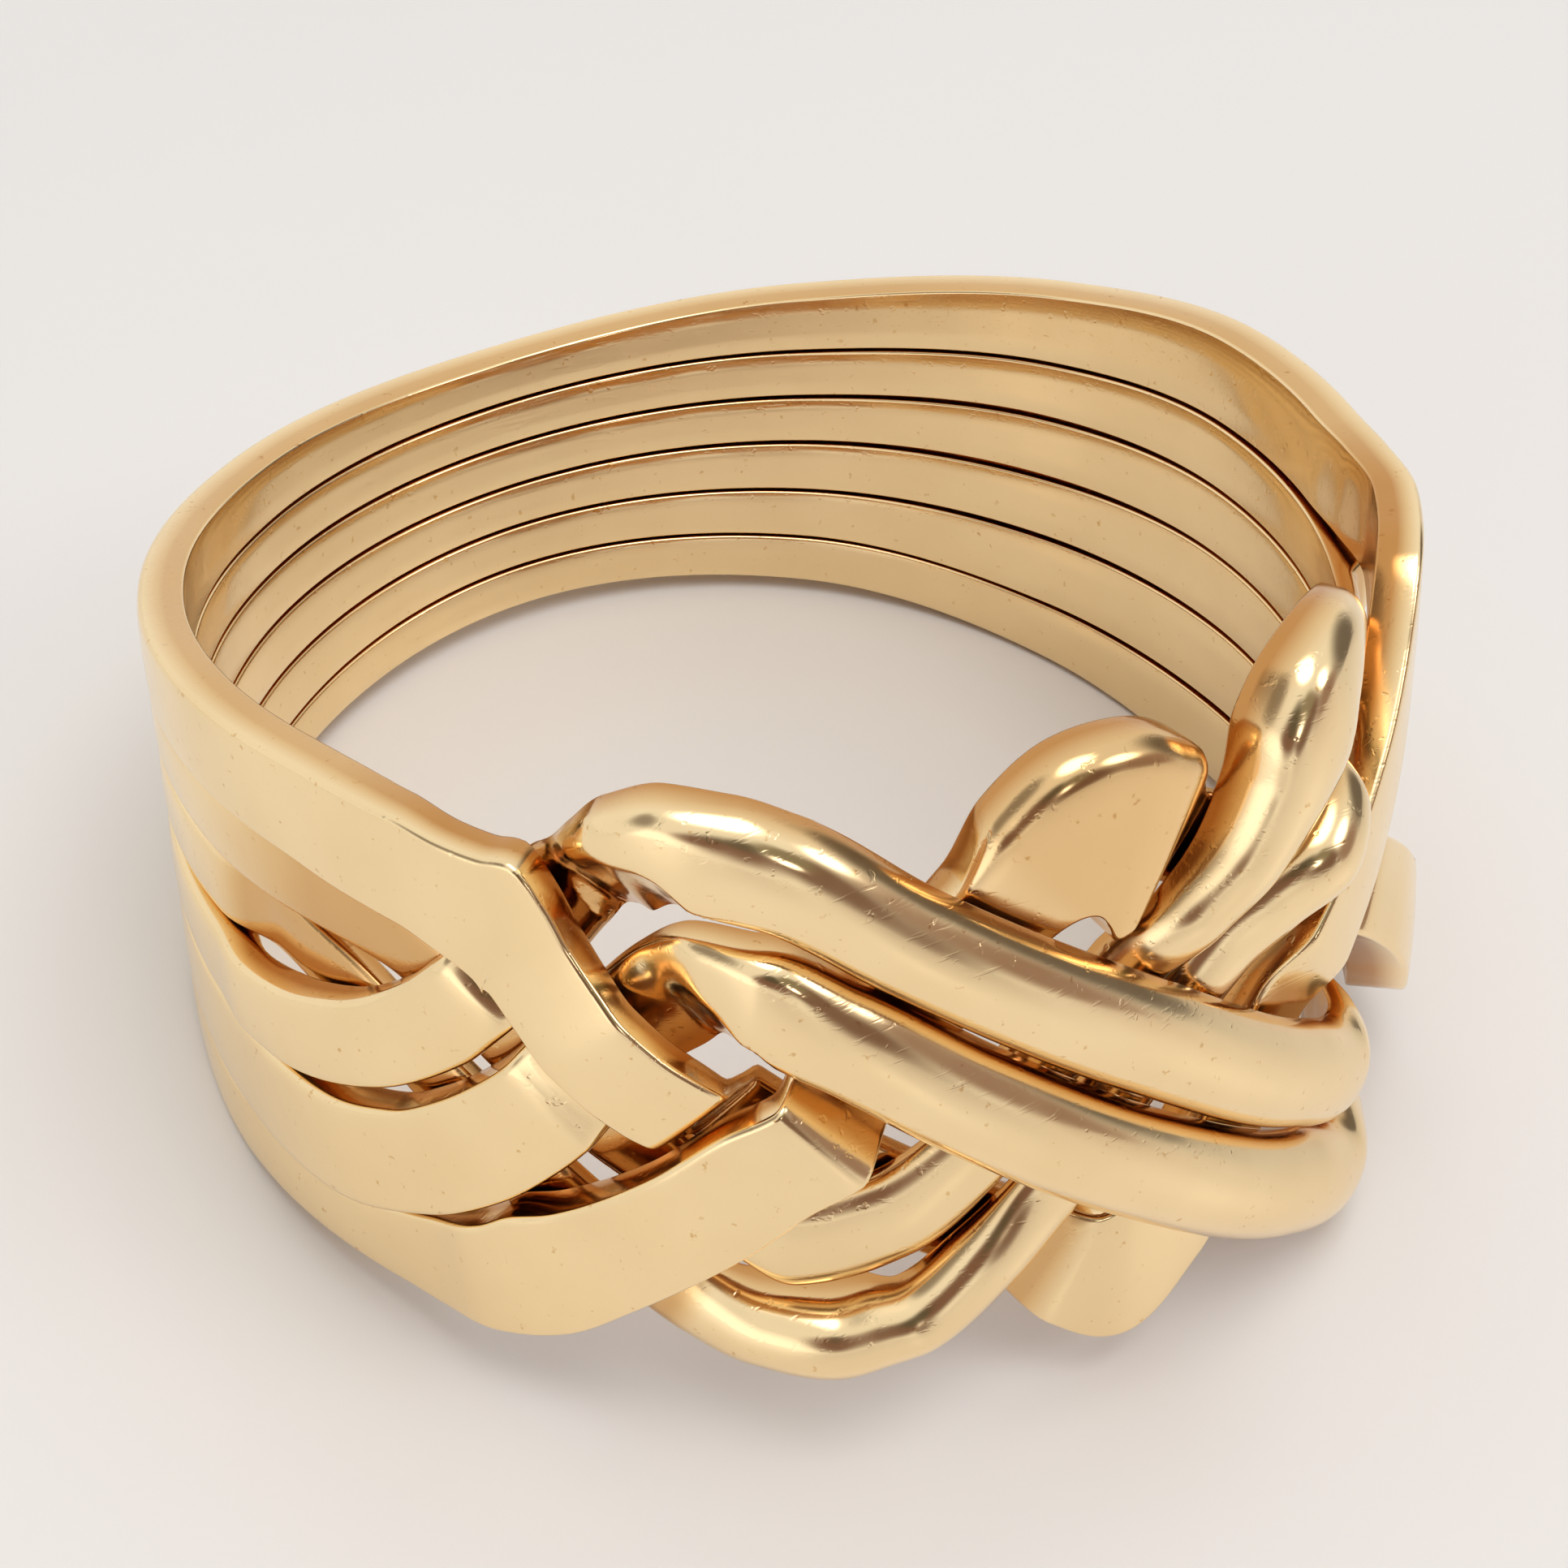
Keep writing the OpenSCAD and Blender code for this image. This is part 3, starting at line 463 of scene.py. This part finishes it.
def wear_and_shade_of(name, angle, base, thick, shoulder_r, uv):
    """Wear and painted shade at each point of a section: rubbed on the outside and on the ring's two rims,
    painted dark as shade in between.
    """
    head = min(max((HEAD_HALF - abs(angle)) / WEAR_FADE, 0), 1)
    # Painted shade on the outside of a band that lies low under the others
    raised = min(max((base + thick - RAISED_FROM) / RAISED_OVER, RAISED_LEAST), 1)
    # Painted shade on the broad loop's outside along its rounded shoulder
    raised -= SHOULDER_SHADE * shoulder_r
    # The bore under the head gets painted shade, the bore at the back is worn
    bore = WEAR_BORE + (SHADE_RECESS - WEAR_BORE) * head
    rim = WEAR_RIM + (SHADE_WALL - WEAR_RIM) * head
    below = rim if name == "band_6" else SHADE_WALL
    above = rim if name == "band_1" else SHADE_WALL
    outside = uv[INNER_POINTS:]
    share = np.clip((outside[:, 1] / thick - OUTSIDE_FROM) / OUTSIDE_OVER, 0, 1)
    wall = np.where(outside[:, 0] > 0, above, below)
    outer = wall + (raised - wall) * share
    return [below] * 2 + [bore] * (INNER_POINTS - 4) + [above] * 2 + list(outer)


def laid(p):
    """The ring's own frame (mid plane at z 0, head towards -Y) to the row frame, in metres."""
    y = p[..., 1] * math.cos(REST_TILT) - p[..., 2] * math.sin(REST_TILT)
    z = p[..., 1] * math.sin(REST_TILT) + p[..., 2] * math.cos(REST_TILT)
    x = p[..., 0] * math.cos(REST_ROLL) + z * math.sin(REST_ROLL)
    z = z * math.cos(REST_ROLL) - p[..., 0] * math.sin(REST_ROLL)
    return (np.stack([x, y, z], -1) - RING_CENTRE) * MM


def turned(p):
    """A direction in the ring's own frame, in the row frame."""
    origin = laid(np.zeros(3))
    return Vector((laid(np.array(p, float)) - origin) / MM)


def toward(azimuth, elevation):
    """A direction out from the ring: azimuth 0 is where the head faces, 90 is to the right."""
    a, e = math.radians(azimuth), math.radians(elevation)
    return np.array([math.sin(a) * math.cos(e), -math.cos(a) * math.cos(e), math.sin(e)])


def rib_angles():
    """Angles of the ribs, close together in the head and wider apart in the back."""
    head = np.arange(HEAD_RIBS) * 2 * HEAD_HALF / HEAD_RIBS - HEAD_HALF
    back = HEAD_HALF + np.arange(BACK_RIBS) * (360 - 2 * HEAD_HALF) / BACK_RIBS
    return (np.concatenate([head, back]) + 180) % 360 - 180


def band(name, rows):
    """One closed band, swept through its ribs, with its wear and painted shade kept at each point."""
    angles = rib_angles()
    points, wear_and_shade = [], []
    for a, (height, width, lean, base, thick, roundness) in zip(angles, interpolate(rows, angles)):
        flank = at_angle(FLANKS, name, a, NO_FLANK)
        shoulder_r = at_angle(SHOULDERS, name, a, 0)
        uv = section(width, thick, roundness, flank, shoulder_r)
        wear_and_shade += wear_and_shade_of(name, a, base, thick, shoulder_r, uv)
        tilt = math.radians(lean)
        middle = BORE_R + base + thick / 2
        phi = math.radians(a) + uv[:, 0] * math.sin(tilt) / middle
        r = BORE_R + base + uv[:, 1]
        points.append(np.stack([r * np.sin(phi), -r * np.cos(phi), height + uv[:, 0] * math.cos(tilt)], -1))
    points = np.array(points)
    n, m = points.shape[:2]
    faces = [
        (i * m + j, i * m + (j + 1) % m, (i + 1) % n * m + (j + 1) % m, (i + 1) % n * m + j)
        for i in range(n) for j in range(m)
    ]
    mesh = bpy.data.meshes.new(name + "_gold")
    mesh.from_pydata([tuple(p) for p in laid(points).reshape(-1, 3)], [], faces)
    mesh.update()
    # Wear and painted shade at each point, which sets the gold's colour
    mesh.attributes.new("wear_and_shade", "FLOAT", "POINT").data.foreach_set("value", wear_and_shade)
    for polygon in mesh.polygons:
        polygon.use_smooth = True
    ob = bpy.data.objects.new(name + "_gold", mesh)
    bpy.context.collection.objects.link(ob)
    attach(ob, "root")
    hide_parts(name)
    return ob


def gold_material(name):
    mat = bpy.data.materials.new(name)
    mat.use_nodes = True
    nodes, links = mat.node_tree.nodes, mat.node_tree.links
    shader = nodes["Principled BSDF"]
    shader.inputs["Metallic"].default_value = 1.0
    coord = nodes.new("ShaderNodeTexCoord")

    def noise(scale, detail, rough, stretch=(1, 1, 1), turn=(0, 0, 0)):
        mapping = nodes.new("ShaderNodeMapping")
        mapping.inputs["Scale"].default_value = stretch
        mapping.inputs["Rotation"].default_value = turn
        links.new(coord.outputs["Object"], mapping.inputs["Vector"])
        tex = nodes.new("ShaderNodeTexNoise")
        tex.inputs["Scale"].default_value = scale
        tex.inputs["Detail"].default_value = detail
        tex.inputs["Roughness"].default_value = rough
        links.new(mapping.outputs["Vector"], tex.inputs["Vector"])
        return tex.outputs["Fac"]

    def ramp(value, stops):
        node = nodes.new("ShaderNodeValToRGB")
        while len(node.color_ramp.elements) < len(stops):
            node.color_ramp.elements.new(0.5)
        for element, (place, colour) in zip(node.color_ramp.elements, stops):
            element.position = place
            element.color = (*colour, 1)
        links.new(value, node.inputs["Fac"])
        return node.outputs["Color"]

    def bump(height, strength, distance, normal=None):
        node = nodes.new("ShaderNodeBump")
        node.inputs["Strength"].default_value = strength
        node.inputs["Distance"].default_value = distance
        links.new(height, node.inputs["Height"])
        if normal:
            links.new(normal, node.inputs["Normal"])
        return node.outputs["Normal"]

    def multiply(first, second):
        node = nodes.new("ShaderNodeMixRGB")
        node.blend_type = "MULTIPLY"
        node.inputs["Fac"].default_value = 1
        links.new(first, node.inputs["Color1"])
        links.new(second, node.inputs["Color2"])
        return node.outputs["Color"]

    # Colour from wear and painted shade: dark orange painted as shade in walls and recesses, pale gold where
    # rubbed
    wear_and_shade = nodes.new("ShaderNodeAttribute")
    wear_and_shade.attribute_name = "wear_and_shade"
    tint = ramp(wear_and_shade.outputs["Fac"], GOLD)
    clouded = multiply(tint, ramp(noise(*CLOUD), CLOUD_STOPS))
    links.new(multiply(clouded, ramp(noise(*SPECKS), SPECK_STOPS)), shader.inputs["Base Color"])

    rough = nodes.new("ShaderNodeMapRange")
    rough.inputs["From Min"].default_value, rough.inputs["From Max"].default_value = POLISH_RANGE
    rough.inputs["To Min"].default_value, rough.inputs["To Max"].default_value = ROUGHNESS_RANGE
    links.new(noise(*POLISH), rough.inputs["Value"])
    links.new(rough.outputs["Result"], shader.inputs["Roughness"])

    # A slow hand-filed wave, worn pits, and short hairline scratches that run three ways
    normal = bump(noise(*WAVE), *WAVE_BUMP)
    normal = bump(ramp(noise(*PITS), PIT_STOPS), *PIT_BUMP, normal)
    for turn in HAIR_TURNS:
        hair = ramp(noise(*HAIRS, HAIR_STRETCH, turn), HAIR_STOPS)
        normal = bump(hair, *HAIR_BUMP, normal)
    links.new(normal, shader.inputs["Normal"])
    return mat


def floor_material(name):
    mat = bpy.data.materials.new(name)
    mat.use_nodes = True
    nodes, links = mat.node_tree.nodes, mat.node_tree.links
    shader = nodes["Principled BSDF"]
    shader.inputs["Roughness"].default_value = FLOOR_ROUGHNESS
    shader.inputs["Specular IOR Level"].default_value = FLOOR_SHEEN
    coord = nodes.new("ShaderNodeTexCoord")
    split = nodes.new("ShaderNodeSeparateXYZ")
    links.new(coord.outputs["Object"], split.inputs["Vector"])
    # Painted falloff of the light: the floor is brighter near the ring and darker far off
    near = nodes.new("ShaderNodeMapRange")
    near.inputs["From Min"].default_value = FLOOR_FADE
    near.inputs["From Max"].default_value = -FLOOR_FADE
    links.new(split.outputs["Y"], near.inputs["Value"])
    mix = nodes.new("ShaderNodeValToRGB")
    mix.color_ramp.elements[0].color = FLOOR_FAR
    mix.color_ramp.elements[1].color = FLOOR_NEAR
    links.new(near.outputs["Result"], mix.inputs["Fac"])
    links.new(mix.outputs["Color"], shader.inputs["Base Color"])
    return mat


def floor_plane():
    corners = [(-FLOOR_HALF, -FLOOR_HALF, 0), (FLOOR_HALF, -FLOOR_HALF, 0)]
    corners += [(FLOOR_HALF, FLOOR_HALF, 0), (-FLOOR_HALF, FLOOR_HALF, 0)]
    mesh = bpy.data.meshes.new("floor")
    mesh.from_pydata(corners, [], [(0, 1, 2, 3)])
    mesh.materials.append(floor_material("floor_white"))
    plane = bpy.data.objects.new("floor", mesh)
    plane.location.z = -FLOOR_DROP
    bpy.context.collection.objects.link(plane)
    return plane


def photo_camera(scene):
    outward = toward(CAM_AZIMUTH, CAM_ELEVATION)
    side = np.cross(-outward, [0, 0, 1])
    side /= np.linalg.norm(side)
    top = np.cross(side, -outward)
    roll = math.radians(CAM_ROLL)
    right = side * math.cos(roll) + top * math.sin(roll)
    up = top * math.cos(roll) - side * math.sin(roll)
    axes = [turned(right), turned(up), turned(outward)]
    place = laid(CAM_DISTANCE * outward)
    data = bpy.data.cameras.new("camera")
    data.sensor_width = SENSOR
    data.lens = SENSOR * CAM_FOCAL / FRAME_SIZE
    data.shift_x, data.shift_y = (shift / FRAME_SIZE for shift in CAM_SHIFT)
    data.clip_start, data.clip_end = 0.001, 5
    camera = bpy.data.objects.new("camera", data)
    camera.matrix_world = Matrix([[*(axis[i] for axis in axes), place[i]] for i in range(3)] + [[0, 0, 0, 1]])
    bpy.context.collection.objects.link(camera)
    scene.camera = camera


def studio_light(scene):
    world = bpy.data.worlds.new("studio")
    scene.world = world
    world.use_nodes = True
    nodes, links = world.node_tree.nodes, world.node_tree.links
    coord = nodes.new("ShaderNodeTexCoord")

    def spot(direction, inner, outer):
        dot = nodes.new("ShaderNodeVectorMath")
        dot.operation = "DOT_PRODUCT"
        dot.inputs[1].default_value = Vector(direction).normalized()
        links.new(coord.outputs["Generated"], dot.inputs[0])
        to = nodes.new("ShaderNodeMapRange")
        to.interpolation_type = "SMOOTHSTEP"
        to.inputs["From Min"].default_value = math.cos(math.radians(outer))
        to.inputs["From Max"].default_value = math.cos(math.radians(inner))
        links.new(dot.outputs["Value"], to.inputs["Value"])
        return to.outputs["Result"]

    last = None
    for azimuth, elevation, inner, outer, colour in SPOTS:
        mix = nodes.new("ShaderNodeMixRGB")
        if last is None:
            mix.inputs["Color1"].default_value = (*TENT, 1)
        else:
            links.new(last, mix.inputs["Color1"])
        mix.inputs["Color2"].default_value = (*colour, 1)
        links.new(spot(toward(azimuth, elevation), inner, outer), mix.inputs["Fac"])
        last = mix.outputs["Color"]
    links.new(last, nodes["Background"].inputs["Color"])
    nodes["Background"].inputs["Strength"].default_value = 1.0


gold = gold_material("warm_gold")
for name, rows in BANDS.items():
    piece = band(name, rows)
    piece.data.materials.append(gold)

floor = floor_plane()

scene = bpy.context.scene
scene.view_settings.view_transform = "Standard"
photo_camera(scene)
studio_light(scene)
